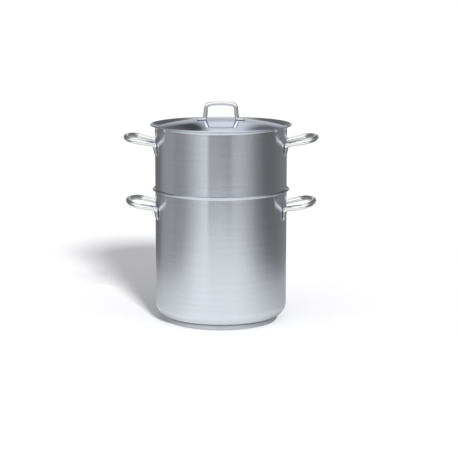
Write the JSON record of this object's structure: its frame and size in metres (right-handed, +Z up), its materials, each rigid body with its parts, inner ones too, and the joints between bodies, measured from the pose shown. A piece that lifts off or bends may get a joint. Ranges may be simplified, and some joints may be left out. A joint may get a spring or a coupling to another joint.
{
  "type": "steamer pot",
  "caption": "Tall steel cooking pot with a plug-in steamer section above it, a shallow domed lid, bent-tube side handles and a flat sandwich base.",
  "frame": {"origin": "centre of the flat underside of the base, on the axis of the pot", "axes": "+Z up along the axis of the pot, +X through the middle of the right-hand side handles, +Y away from the viewer of the picture"},
  "size_m": [0.534, 0.388, 0.605],
  "materials": {
    "satin_steel": "fine circular brushing",
    "polished_steel": "polished tube",
    "aluminium_core": "plain, hidden inside the base"
  },
  "bodies": {
    "pot": {"pot_shell": "satin_steel", "base_core": "aluminium_core", "base_cap": "satin_steel", "pot_handle_left": "polished_steel", "pot_handle_right": "polished_steel"},
    "steamer": {"steamer_shell": "satin_steel", "steamer_floor": "satin_steel", "steamer_handle_left": "polished_steel", "steamer_handle_right": "polished_steel"},
    "lid": {"lid_shell": "satin_steel", "lid_handle": "polished_steel"}
  },
  "joints": [
    {"name": "steamer_lift", "type": "slide", "parent": "pot", "child": "steamer", "axis": [0, 0, 1], "range_m": [0, 0.16]},
    {"name": "lid_lift", "type": "slide", "parent": "steamer", "child": "lid", "axis": [0, 0, 1], "range_m": [0, 0.16]}
  ]
}
